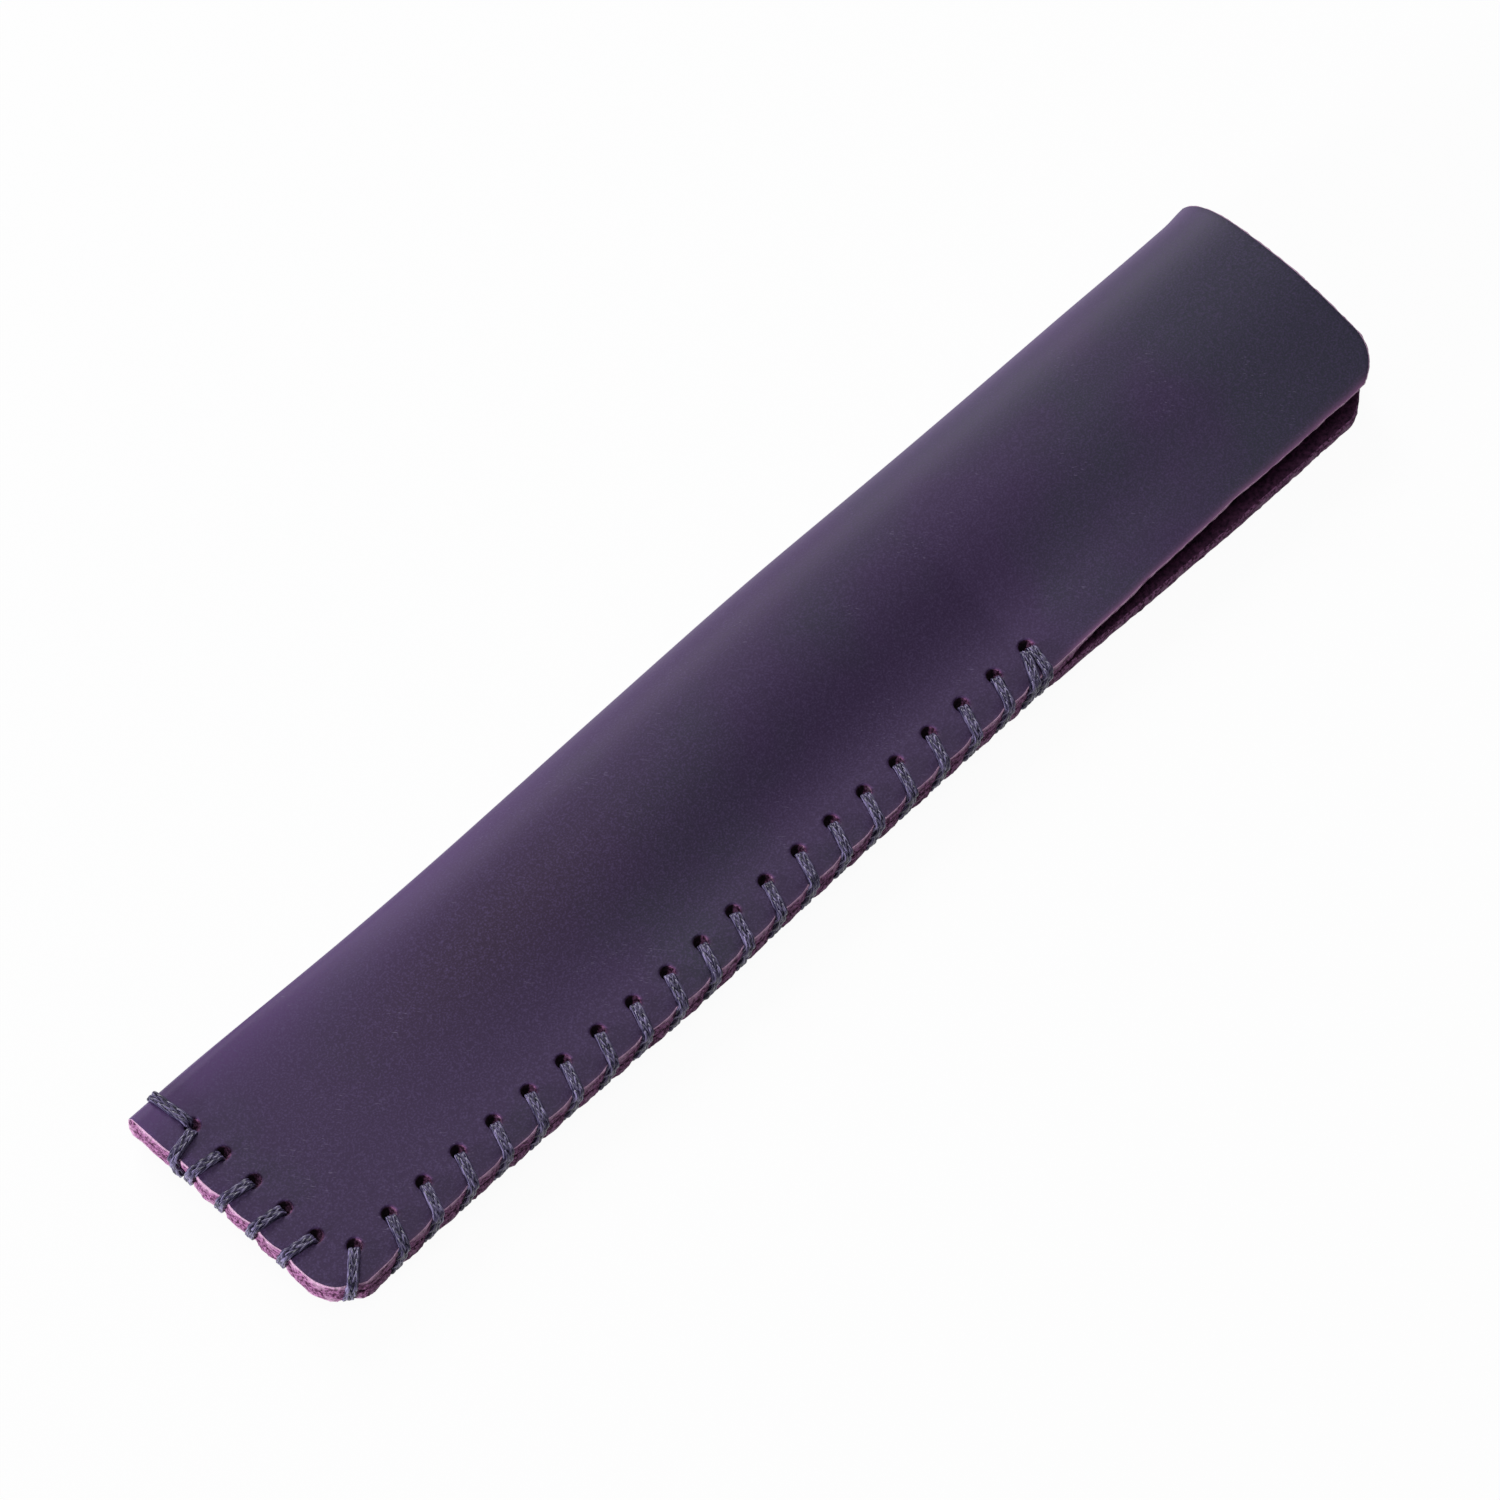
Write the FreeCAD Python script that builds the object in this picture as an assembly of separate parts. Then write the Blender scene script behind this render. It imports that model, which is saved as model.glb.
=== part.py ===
import FreeCAD, Part
import math
import os

from FreeCAD import Vector

# A pen sleeve: one sheet of leather folded along its length and whip-stitched with one waxed thread
# across the closed end and along two thirds of the free side. Millimetres, +X to the mouth, +Y to the
# fold, +Z up, lying on its back panel. The origin is on the table under the middle of the folded sheet.

# Folded sheet
length = 159.6
width = 32.0
leather = 1.5
layer_gap = 0.2
end_corner_radius = 5.3
front_lip_radius = 6.0
back_lip_radius = 7.5
table_press = 0.05

# Thread, flattened by the pull
thread_width = 1.1
thread_thickness = 0.6
thread_clearance = 0.15
thread_bend = 0.6
pass_gap = 0.1
thread_sides = 6

# Punched holes: a row along the free side that starts at the closed end's corner, and a row across the end
hole_diameter = 1.8
double_hole_diameter = 2.4
hole_sides = 12
seam_inset = 4.05
seam_row_start = 6.0
stitch_pitch = 5.0
seam_holes = 21
end_inset = 4.0
end_row_start = 7.75
end_row_to_fold = 5.6
end_holes = 5

# Lean of each stitch, measured along the edge that it goes over
front_lean = 1.05
edge_lean = 0.7
start_lean = 1.9
finish_lean = 2.2
last_lean = 0.75
skew_slack = 0.35

# Form of the folded sheet: flat where it is stitched, swollen between, standing open at the lip
margin = 5.6
end_margin = 6.6
end_ramp = 25.0
seam_step = 5.0
swell_reach = 80.0
fold_swell = 0.55
fold_draw = 1.1
fold_lean = 60.0
lip_rise = 2.1
lip_draw = 0.6
lip_tilt = 14.0
crown_swell = 4.0
lip_swell = 0.4
crown_share = 0.66
lip_crown_share = 0.56
rise_handle_share = 0.4
crown_handle_share = 0.5
fold_handle_share = 0.38
step_handle_share = 0.5
swell_stations = 9
lip_stations = 5
curve_points = 7

overrun = 1.0

# Heights and reaches that follow from the sizes above
thread_reach = thread_clearance + thread_thickness / 2
seam_lift = thread_thickness + 2 * thread_clearance
seam_height = 2 * leather + layer_gap
seam_top = seam_lift + seam_height
run_top = seam_top + thread_reach
run_bottom = seam_lift - thread_reach
thread_end = seam_lift + leather / 2
seam_end = seam_row_start + stitch_pitch * (seam_holes - 1)
cut_top = seam_top + crown_swell + lip_swell + overrun


def ease(value, start, stop):
    """Smooth step from 0 at start to 1 at stop."""
    part = min(max((value - start) / (stop - start), 0.0), 1.0)
    return part * part * (3 - 2 * part)


def ease_out(value, start, stop):
    """From 0 at start to 1 at stop, fast at first and level at the end."""
    part = min(max((value - start) / (stop - start), 0.0), 1.0)
    return part * (2 - part)


def heading(angle):
    """Unit vector in the plane of a section, with the angle in degrees from +Y towards +Z."""
    turn = math.radians(angle)
    return Vector(0, math.cos(turn), math.sin(turn))


def on_line(start, stop):
    """Two points of a straight stretch, each with its direction."""
    along = (stop - start).normalize()
    return [(start, along), (stop, along)]


def on_bezier(start, first_angle, first_handle, stop, last_angle, last_handle):
    """Points of a cubic curve between two headings, each with its direction."""
    a = start
    b = start + heading(first_angle) * first_handle
    c = stop - heading(last_angle) * last_handle
    d = stop
    points = []
    for step in range(curve_points):
        t = step / (curve_points - 1)
        s = 1 - t
        point = a * s**3 + b * (3 * s * s * t) + c * (3 * s * t * t) + d * t**3
        slope = (b - a) * (s * s) + (c - b) * (2 * s * t) + (d - c) * (t * t)
        points.append((point, slope.normalize()))
    return points


def on_arc(centre, radius, first_angle, last_angle):
    """Points of an arc that turns to the right from one heading to another."""
    points = []
    for step in range(curve_points):
        angle = first_angle + (last_angle - first_angle) * step / (curve_points - 1)
        points.append((centre + heading(angle + 90) * radius, heading(angle)))
    return points


def edge_through(points):
    """A straight edge through two points, or a smooth curve through more."""
    if len(points) == 2:
        return Part.LineSegment(points[0], points[1]).toShape()
    curve = Part.BSplineCurve()
    even = [step / (len(points) - 1) for step in range(len(points))]
    curve.interpolate(Points=points, Parameters=even)
    return curve.toShape()


def sheet_section(x):
    """Closed outline of the sheet, cut square across at x: a smooth outside, and straight chords inside."""
    pressed = 1 - ease(x, end_margin, end_margin + end_ramp)
    swell = ease(x, end_margin, swell_reach)
    opened = ease_out(x, seam_end, length)
    half = leather / 2
    across = Vector(x, 0, 0)

    floor = seam_lift * pressed - table_press * (1 - pressed) + half
    back_edge = seam_lift * (1 - opened) + half
    front_edge = seam_lift * (1 - opened) + seam_height - half + lip_rise * opened
    tilt = lip_tilt * opened

    fold_radius = (leather + layer_gap + seam_lift * (1 - pressed)) / 2 + fold_swell * swell
    lean = fold_lean * swell
    drawn = fold_draw * ease(x, end_margin, length)
    fold_y = width - drawn - fold_radius - half
    fold_centre = across + Vector(0, fold_y, floor + fold_radius)
    fold_start = fold_centre + heading(90 - lean) * fold_radius

    lip = across + Vector(0, lip_draw * opened, front_edge)
    front_start = lip + heading(tilt) * margin
    crown_y = width * (crown_share + (lip_crown_share - crown_share) * opened)
    crown_z = seam_top - half + crown_swell * swell + lip_swell * opened
    crown = across + Vector(0, crown_y, crown_z)
    rise_handle = (crown.y - front_start.y) * rise_handle_share
    crown_handle = (fold_start.y - crown.y) * crown_handle_share
    fold_handle = (fold_start.y - crown.y) * fold_handle_share
    step_top = across + Vector(0, margin, back_edge)
    step_foot = across + Vector(0, margin + seam_step, floor)
    step_handle = seam_step * step_handle_share

    stretches = [
        on_line(lip, front_start),
        on_bezier(front_start, tilt, rise_handle, crown, 0, rise_handle),
        on_bezier(crown, 0, crown_handle, fold_start, -lean, fold_handle),
        on_arc(fold_centre, fold_radius, -lean, -180),
        on_line(across + Vector(0, fold_y, floor), step_foot),
        on_bezier(step_foot, 180, step_handle, step_top, 180, step_handle),
        on_line(step_top, across + Vector(0, 0, back_edge)),
    ]
    aside = Vector(half, 0, 0)
    outer = [[p - d.cross(aside) for p, d in stretch] for stretch in stretches]
    inner = [[p + d.cross(aside) for p, d in reversed(stretch)] for stretch in reversed(stretches)]
    edges = [edge_through(points) for points in outer]
    flesh_side = outer[-1][-1:]
    for points in inner:
        flesh_side.extend(points[:-1])
    flesh_side.extend([inner[-1][-1], outer[0][0]])
    edges.extend(edge_through([a, b]) for a, b in zip(flesh_side, flesh_side[1:]))
    return Part.Wire(edges)


def corner_cutter(corner, into_x, radius, bottom, top):
    """Prism that rounds a corner on the free side, where into_x points along the edge into the sheet."""
    out = Vector(-into_x * overrun, -overrun, 0)
    centre = corner + Vector(into_x * radius, radius, 0)
    on_side = corner + Vector(into_x * radius, 0, 0)
    on_end = corner + Vector(0, radius, 0)
    middle = centre - Vector(into_x, 1, 0).normalize() * radius
    edges = [
        Part.Arc(on_side, middle, on_end).toShape(),
        edge_through([on_end, on_end + Vector(out.x, 0, 0)]),
        edge_through([on_end + Vector(out.x, 0, 0), corner + out]),
        edge_through([corner + out, on_side + Vector(0, out.y, 0)]),
        edge_through([on_side + Vector(0, out.y, 0), on_side]),
    ]
    profile = Part.Face(Part.Wire(edges))
    profile.translate(Vector(0, 0, bottom))
    return profile.extrude(Vector(0, 0, top - bottom))


def polygon(centre, across, upward, sides):
    """Closed outline with its corners on the ellipse whose half axes are across and upward."""
    corners = []
    for side in range(sides):
        angle = 2 * math.pi * side / sides
        corners.append(centre + across * math.cos(angle) + upward * math.sin(angle))
    return Part.makePolygon(corners + corners[:1])


def punch(place, diameter):
    """Tool of a punched hole, with its round as a polygon because the holes are many and small."""
    radius = diameter / 2
    profile = Part.Face(polygon(place, Vector(radius, 0, 0), Vector(0, radius, 0), hole_sides))
    return profile.extrude(Vector(0, 0, cut_top))


def end_row():
    """Centres of the holes across the closed end, from the fold to the corner."""
    pitch = (width - end_row_to_fold - end_row_start) / (end_holes - 1)
    return [Vector(end_inset, width - end_row_to_fold - pitch * k, 0) for k in range(end_holes)]


def seam_row():
    """Centres of the holes along the free side, from the corner to the last stitch."""
    return [Vector(seam_row_start + stitch_pitch * k, seam_inset, 0) for k in range(seam_holes)]


def folded_leather():
    """The sheet: a loft through its sections, with rounded corners and punched holes."""
    stations = [0, end_margin]
    for k in range(swell_stations):
        stations.append(end_margin + (seam_end - end_margin) * (k + 1) / swell_stations)
    for k in range(lip_stations):
        stations.append(seam_end + (length - seam_end) * (k + 1) / lip_stations)
    sheet = Part.makeLoft([sheet_section(x) for x in stations], True, True)

    lip_split = leather + (seam_height - 2 * leather + lip_rise) / 2
    cutters = [
        corner_cutter(Vector(0, 0, 0), 1, end_corner_radius, -overrun, cut_top),
        corner_cutter(Vector(length, 0, 0), -1, front_lip_radius, lip_split, cut_top),
        corner_cutter(Vector(length, 0, 0), -1, back_lip_radius, -overrun, lip_split),
        Part.makeBox(length + 2 * overrun, width, overrun, Vector(-overrun, 0, -overrun)),
    ]
    holes = end_row() + seam_row()
    for place in holes:
        doubled = place in (holes[0], holes[-1])
        diameter = double_hole_diameter if doubled else hole_diameter
        cutters.append(punch(place, diameter))
    return sheet.cut(cutters)


def edge_place(along, height, reach):
    """Point outside the stitched edge by reach, at a distance along it from the fold."""
    end_run = width - end_corner_radius
    turn = math.pi / 2 * end_corner_radius
    if along < end_run:
        point = Vector(0, width - along, 0)
        out = Vector(-1, 0, 0)
    elif along < end_run + turn:
        angle = (along - end_run) / end_corner_radius
        out = Vector(-math.cos(angle), -math.sin(angle), 0)
        point = Vector(end_corner_radius, end_corner_radius, 0) + out * end_corner_radius
    else:
        point = Vector(end_corner_radius + along - end_run - turn, 0, 0)
        out = Vector(0, -1, 0)
    return point + out * reach + Vector(0, 0, height)


def thread_route():
    """Corners of the thread's centre line with the bend radius at each, from its first end to its last."""
    end_run = width - end_corner_radius
    turn = math.pi / 2 * end_corner_radius
    holes = end_row() + seam_row()
    places = [width - hole.y for hole in end_row()]
    places.append(end_run + turn / 2)
    places.extend(end_run + turn + hole.x - end_corner_radius for hole in seam_row()[1:])
    leans = [front_lean] * len(holes)
    leans[end_holes] = 0
    leans[-1] = finish_lean

    up = Vector(0, 0, run_top)
    down = Vector(0, 0, run_bottom)
    split = (thread_thickness + thread_width) / 2 + pass_gap
    to_fold = (split + (thread_width - thread_thickness) / 2) / 2
    first = holes[0] + Vector(0, to_fold, 0)
    fold_edge = Vector(first.x, width + thread_reach, 0)
    fold_bend = (run_top - run_bottom) / 2 - thread_clearance / 2
    holes[0] = holes[0] + Vector(0, to_fold - split, 0)
    last = holes[-1] + Vector((thread_width + pass_gap) / 2, 0, 0)
    holes[-1] = holes[-1] - Vector((thread_width + pass_gap) / 2, 0, 0)

    route = [
        (first + Vector(0, 0, thread_end), 0),
        (first + up, thread_bend),
        (fold_edge + up, fold_bend),
        (fold_edge + down, fold_bend),
    ]
    loose = thread_reach + skew_slack
    stitches = [(holes[0], places[0] + start_lean, loose)]
    stitches.extend((holes[k], places[k] - leans[k], thread_reach) for k in range(1, len(holes)))
    stitches.append((last, places[-1] - last_lean, thread_reach))
    for hole, along, reach in stitches:
        route.append((edge_place(along - edge_lean, run_bottom, reach), thread_bend))
        route.append((edge_place(along, run_top, reach), thread_bend))
        route.append((hole + up, thread_bend))
        route.append((hole + down, thread_bend))
    route[-1] = (last + Vector(0, 0, thread_end), 0)
    return route


def thread_section(centre, along, across):
    """Outline of the thread's flattened section, as wide as the thread in the direction across."""
    flat = across * (thread_width / 2)
    thick = along.cross(across) * (thread_thickness / 2)
    return polygon(centre, flat, thick, thread_sides)


def whip_stitch():
    """The thread: straight runs joined by faceted bends, its flat side turned to the leather at each bend."""
    route = thread_route()
    points = [point for point, bend in route]
    ways = [(b - a).normalize() for a, b in zip(points, points[1:])]
    axes = [a.cross(b).normalize() for a, b in zip(ways, ways[1:])]
    places = [points[0]]
    sections = [thread_section(points[0], ways[0], axes[0])]
    for (corner, bend), before, after, axis in zip(route[1:-1], ways, ways[1:], axes):
        angle = before.getAngle(after)
        enter = corner - before * (bend * math.tan(angle / 2))
        centre = enter + axis.cross(before) * bend
        facets = 1 + math.ceil(bend / thread_bend)
        for step in range(facets + 1):
            turn = FreeCAD.Rotation(axis, math.degrees(angle) * step / facets)
            way = turn.multVec(before)
            places.append(centre - axis.cross(way) * bend)
            sections.append(thread_section(places[-1], way, axis))
    places.append(points[-1])
    sections.append(thread_section(points[-1], ways[-1], axes[-1]))
    thread = Part.makeLoft(sections, True, True)
    path_length = sum((b - a).Length for a, b in zip(places, places[1:]))
    section = Part.Face(sections[0]).Area * path_length
    print(f"thread: {path_length:.1f} mm long, volume {thread.Volume:.2f}, section by length {section:.2f}")
    return thread


def write(name, shape):
    """Move a piece from the closed corner to the middle of the folded sheet and write it."""
    shape.translate(Vector(-length / 2, -width / 2, 0))
    box = shape.BoundBox
    print(f"{name}: valid {shape.isValid()}, solids {len(shape.Solids)}, faces {len(shape.Faces)},")
    print(f"  volume {shape.Volume:.1f}, x {box.XMin:.2f} to {box.XMax:.2f},")
    print(f"  y {box.YMin:.2f} to {box.YMax:.2f}, z {box.ZMin:.2f} to {box.ZMax:.2f}")
    shape.exportStep(f"parts/{name}.step")


os.makedirs("parts", exist_ok=True)
write("folded_leather", folded_leather())
write("whip_stitch_thread", whip_stitch())
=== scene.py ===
"""Looks of a single pen sleeve: a folded sheet of waxed leather, whip-stitched with one flat braided thread.

Inside the classes lengths are millimetres: x from the closed end, y from the stitched edge, z from the table. The
leather is laid out flat first, by x and by the distance s across the sheet from the front edge over the fold to the
back edge, and then bent into the folded form.
"""

import logging
import math
from collections.abc import Callable, Iterable, Sequence
from dataclasses import dataclass, field
from enum import IntEnum
from functools import partial
from typing import Any

import bpy
import numpy as np
from mathutils import Matrix, Vector
from numpy.typing import NDArray


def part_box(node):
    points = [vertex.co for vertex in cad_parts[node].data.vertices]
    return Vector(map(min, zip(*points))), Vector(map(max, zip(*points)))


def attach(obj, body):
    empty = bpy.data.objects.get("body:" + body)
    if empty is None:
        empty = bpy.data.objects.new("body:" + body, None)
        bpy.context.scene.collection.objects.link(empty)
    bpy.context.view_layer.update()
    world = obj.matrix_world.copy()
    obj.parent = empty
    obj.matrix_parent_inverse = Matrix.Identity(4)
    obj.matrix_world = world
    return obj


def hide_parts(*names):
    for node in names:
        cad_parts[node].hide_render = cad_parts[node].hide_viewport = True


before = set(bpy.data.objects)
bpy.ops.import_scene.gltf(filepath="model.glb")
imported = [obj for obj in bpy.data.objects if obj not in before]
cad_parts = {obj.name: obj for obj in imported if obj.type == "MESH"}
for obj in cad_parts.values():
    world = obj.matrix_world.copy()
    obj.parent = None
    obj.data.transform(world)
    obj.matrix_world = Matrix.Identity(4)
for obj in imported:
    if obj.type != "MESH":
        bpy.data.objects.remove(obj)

Reals = NDArray[np.float64]
Planar = NDArray[np.complex128]
Indices = NDArray[np.int64]
Flags = NDArray[np.bool_]
Pair = tuple[float, float]
Triple = tuple[float, float, float]
Ramp = tuple[float, float, float, float]
Piece = bpy.types.Object
Adder = Callable[..., Any]
Paint = tuple[list[tuple[Any, str]], Any, dict[str, Any]]

MM = 0.001
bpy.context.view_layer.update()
log = logging.getLogger("pen_sleeve")


class Zone(IntEnum):
    """Parts of the leather's surface, in the order of its material slots."""

    GRAIN = 0
    CUT = 1
    FLESH = 2


def ease(value: Reals, start: float, stop: float) -> Reals:
    """Smooth step from 0 at start to 1 at stop."""
    part = np.clip((value - start) / (stop - start), 0.0, 1.0)
    return part * part * (3 - 2 * part)


def ease_out(value: Reals, start: float, stop: float) -> Reals:
    """From 0 at start to 1 at stop, fast at first and level at the end."""
    part = np.clip((value - start) / (stop - start), 0.0, 1.0)
    return part * (2 - part)


def bell(value: Reals, middle: float, reach: float) -> Reals:
    """Bell of height 1 about the middle: e to the power of minus the square of the distance over the reach."""
    return np.exp(-(((value - middle) / reach) ** 2))


def unit(vectors: Reals) -> Reals:
    """Vectors divided by their lengths."""
    return vectors / np.linalg.norm(vectors, axis=-1, keepdims=True)


def between_rows(wanted: Reals, known: Reals, rows: Reals) -> Reals:
    """Rows of three numbers read at the wanted places between the known ones."""
    return np.stack([np.interp(wanted, known, rows[:, k]) for k in range(3)], axis=-1)


def spaced(start: float, stretches: Iterable[tuple[float, int]]) -> Reals:
    """Lines through stretches of even cells.

    Args:
        start: First line.
        stretches: End and number of cells of each stretch.

    Returns:
        The lines in order.
    """
    lines = [np.array([start])]
    for stop, cells in stretches:
        lines.append(np.linspace(lines[-1][-1], stop, cells + 1)[1:])
    return np.concatenate(lines)


def joined(near: Indices, far: Indices) -> Indices:
    """Quads between loops of vertex numbers.

    Args:
        near: Closed loops, each along the last axis.
        far: As many loops, to which the faces run.

    Returns:
        Four vertex numbers per face.
    """
    near_next, far_next = np.roll(near, -1, axis=-1), np.roll(far, -1, axis=-1)
    return np.stack([near, near_next, far_next, far], axis=-1).reshape(-1, 4)


def linear(shade: str) -> Ramp:
    """Turn an sRGB hex value into linear red, green, blue and alpha.

    Args:
        shade: Six hex digits after a hash sign.

    Returns:
        The linear colour with alpha 1.
    """
    parts = [int(shade[k : k + 2], 16) / 255 for k in (1, 3, 5)]
    red, green, blue = (c / 12.92 if c <= 0.04045 else ((c + 0.055) / 1.055) ** 2.4 for c in parts)
    return red, green, blue, 1.0


def add_node(
    tree: bpy.types.NodeTree,
    kind: str,
    links: dict[Any, Any] | Sequence[Any] = (),
    output: int | str = 0,
    **settings: Any,
) -> Any:
    """Add a shader node with its settings and inputs.

    Args:
        tree: Node tree that takes it.
        kind: Type name after the word ShaderNode.
        links: Sockets or plain values for the inputs, in order or by name or number.
        output: Name or number of the wanted output.
        **settings: Attributes of the node itself.

    Returns:
        The wanted output, or None where there is none.
    """
    node = tree.nodes.new("ShaderNode" + kind)
    for name, value in settings.items():
        setattr(node, name, value)
    for name, value in links.items() if isinstance(links, dict) else enumerate(links):
        if isinstance(value, bpy.types.NodeSocket):
            tree.links.new(value, node.inputs[name])
        else:
            node.inputs[name].default_value = value
    return node.outputs[output] if node.outputs else None


def new_tree(block: bpy.types.Material | bpy.types.World) -> Adder:
    """Start the node tree of a material or a world.

    Args:
        block: Material or world, just made.

    Returns:
        The function that adds nodes to its emptied tree.
    """
    block.use_nodes = True
    block.node_tree.nodes.clear()
    return partial(add_node, block.node_tree)


@dataclass(frozen=True)
class Finish:
    """A material of the sleeve: shades laid over one another, a relief and a shine."""

    name: str
    base: str
    relief: float
    relief_mm: float

    def paint(self, add: Adder) -> Paint:
        """Add the finish's own nodes.

        Args:
            add: Adds a node to the material.

        Returns:
            The shades over the base, each after its factor, the height of the relief, and the shader's other inputs.
        """
        raise NotImplementedError

    def material(self) -> bpy.types.Material:
        """Build the node material from what paint gives.

        Returns:
            The material.
        """
        material = bpy.data.materials.new(self.name)
        add = new_tree(material)
        shades, height, inputs = self.paint(add)
        colour: Any = linear(self.base)
        for factor, shade in shades:
            colour = add("Mix", {0: factor, 6: colour, 7: linear(shade)}, 2, data_type="RGBA")
        bump = {"Height": height, "Strength": self.relief, "Distance": self.relief_mm * MM}
        inputs |= {"Base Color": colour, "Normal": add("Bump", bump)}
        add("OutputMaterial", {"Surface": add("BsdfPrincipled", inputs)})
        return material


@dataclass(frozen=True)
class GrainLeather(Finish):
    """Waxed cowhide, dyed in the drum: a matte aubergine skin with a fine pebble, mottled where wax and dye moved.

    The eye sees slate and purple clouds, a darker patch on the panel towards the closed end, a paler fold that is
    partly pull-up paling where the leather bends and partly a painted highlight, fine flecks, a few scuffs, and pale
    rims at the holes and edges: bare grain, partly painted light on the lit side of each hole and a painted highlight
    along the lip. Real flecks and pebbles are about a tenth of a millimetre, too fine to show, so both are drawn two
    to four times as coarse. A ramp is the range of what it reads and then the range that it gives. Those along the
    sleeve read metres.
    """

    name: str = "waxed_leather_grain"
    base: str = "#323142"
    relief: float = 0.3
    relief_mm: float = 0.05
    purple: str = "#3b294c"
    # Darker shade laid over a patch in the middle of the panel, towards the closed end.
    deep: str = "#32213b"
    # Paler purple along the fold: partly pull-up leather paling where it bends, partly a painted highlight.
    pulled: str = "#5c3f74"
    fleck: str = "#57476f"
    # Pale colour of the scuffs, which are real wear.
    scuff_and_fold_light: str = "#84789a"
    # Pale rim colour: bare grain at holes and edges, partly painted light: a highlight along the lip and the lit side
    # of each hole.
    rim_bare_and_lit: str = "#865a82"
    mottle_mm: float = 18.0
    fleck_mm: float = 0.21
    pebble_mm: float = 0.45
    scuff_mm: float = 7.0
    stroke_mm: float = 0.15
    stroke_turn: float = 0.9
    stroke_squeeze: float = 0.2
    drift: Ramp = (0.01, 0.075, 0.13, -0.25)
    mottle: Ramp = (0.37, 0.63, 0.0, 1.0)
    fleck_least: Ramp = (-0.055, 0.08, 0.47, 0.43)
    fleck_most: Ramp = (-0.055, 0.08, 0.75, 0.48)
    fleck_full: float = 0.72
    stroke: Ramp = (0.67, 0.76, 0.0, 1.0)
    sparse: Ramp = (0.56, 0.68, 0.0, 0.45)
    roughness: Ramp = (0.0, 1.0, 0.45, 0.7)
    specular: float = 0.24
    sheen: float = 0.06
    sheen_roughness: float = 0.45
    sheen_tint: str = "#b7a8d8"

    def paint(self, add: Adder) -> Paint:
        """Mottled dye, fine flecks, sparse scuffs, raw rims and a pebbled relief.

        Args:
            add: Adds a node to the material.

        Returns:
            What Finish.paint says.
        """
        place = add("TexCoord", output="Object")
        sizes = ((self.mottle_mm, 4.0), (self.fleck_mm, 3.0), (self.scuff_mm, 1.0))
        cloud, dots, patches = (
            add("TexNoise", {"Vector": place, "Scale": 1 / (size * MM), "Detail": detail}) for size, detail in sizes
        )
        # The second attribute lays the fold's pale band: partly pull-up paling, partly a painted highlight.
        dark_patch, bent, rim = (add("Attribute", output="Fac", attribute_name=name) for name in ("deep", "rub", "rim"))
        along = add("SeparateXYZ", (place,))
        ramps = (self.drift, self.fleck_least, self.fleck_most)
        drift, least, most = (add("MapRange", (along, *ramp)) for ramp in ramps)
        shifted = add("Math", (cloud, drift), operation="ADD")
        tone = add("MapRange", (shifted, *self.mottle))
        dotted = add("MapRange", (dots, least, self.fleck_full, 0.0, most))
        turned = add("Mapping", {"Vector": place, "Rotation": (0.0, 0.0, self.stroke_turn)})
        drawn = add("Mapping", {"Vector": turned, "Scale": (self.stroke_squeeze, 1.0, 1.0)})
        strokes = add("TexNoise", {"Vector": drawn, "Scale": 1 / (self.stroke_mm * MM), "Detail": 1.0})
        sharp = add("MapRange", (strokes, *self.stroke))
        sparse = add("MapRange", (patches, *self.sparse))
        scuff = add("Math", (sharp, sparse), operation="MULTIPLY")
        cell = {"Vector": place, "Scale": 1 / (self.pebble_mm * MM)}
        pebble = add("TexVoronoi", cell, feature="SMOOTH_F1")
        shades = [
            (tone, self.purple),
            (dark_patch, self.deep),
            (bent, self.pulled),
            (dotted, self.fleck),
            (scuff, self.scuff_and_fold_light),
            (rim, self.rim_bare_and_lit),
        ]
        inputs = {
            "Roughness": add("MapRange", (dots, *self.roughness)),
            "Specular IOR Level": self.specular,
            "Sheen Weight": self.sheen,
            "Sheen Roughness": self.sheen_roughness,
            "Sheen Tint": linear(self.sheen_tint),
        }
        return shades, add("Math", (pebble, dots), operation="ADD"), inputs


@dataclass(frozen=True)
class CutLeather(Finish):
    """Bare cut through drum-dyed leather: rough magenta fibres, paler and denser just under the grain.

    The walls of the holes have the same finish and turn nearly black as they go down: painted shade inside the holes.
    Real fibres are a few hundredths of a millimetre, too fine to show, so they are drawn as tufts.
    """

    name: str = "raw_leather_edge"
    base: str = "#43233b"
    relief: float = 0.8
    relief_mm: float = 0.15
    fibre: str = "#98668f"
    pale: str = "#dcb6d3"
    # Near-black painted shade deep in the holes.
    hole_shade_colour: str = "#0d070b"
    fibre_mm: float = 0.35
    clump_mm: float = 1.6
    tuft: Ramp = (0.4, 0.6, 0.0, 1.0)
    uneven: Ramp = (0.35, 0.65, 0.2, 0.7)
    dense: Triple = (0.05, 0.0, 0.75)
    hole_shade: Ramp = (1.0, 1.5, 0.0, 0.95)
    roughness: float = 0.9
    specular: float = 0.2

    def paint(self, add: Adder) -> Paint:
        """Tufts of fibre and a pale layer of uneven depth under the grain.

        Args:
            add: Adds a node to the material.

        Returns:
            What Finish.paint says.
        """
        place = add("TexCoord", output="Object")
        sizes = ((self.fibre_mm, 5.0), (self.clump_mm, 2.0))
        strand, clump = (
            add("TexNoise", {"Vector": place, "Scale": 1 / (size * MM), "Detail": detail}) for size, detail in sizes
        )
        depth = add("Attribute", output="Fac", attribute_name="depth")
        tuft = add("MapRange", (strand, *self.tuft))
        uneven = add("MapRange", (clump, *self.uneven))
        dense = add("MapRange", (depth, uneven, *self.dense))
        # Painted shade: walls darken to near black as depth goes past 1, deep in the holes.
        hole_shade = add("MapRange", (depth, *self.hole_shade))
        shades = [(tuft, self.fibre), (dense, self.pale), (hole_shade, self.hole_shade_colour)]
        return shades, strand, {"Roughness": self.roughness, "Specular IOR Level": self.specular}


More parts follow.
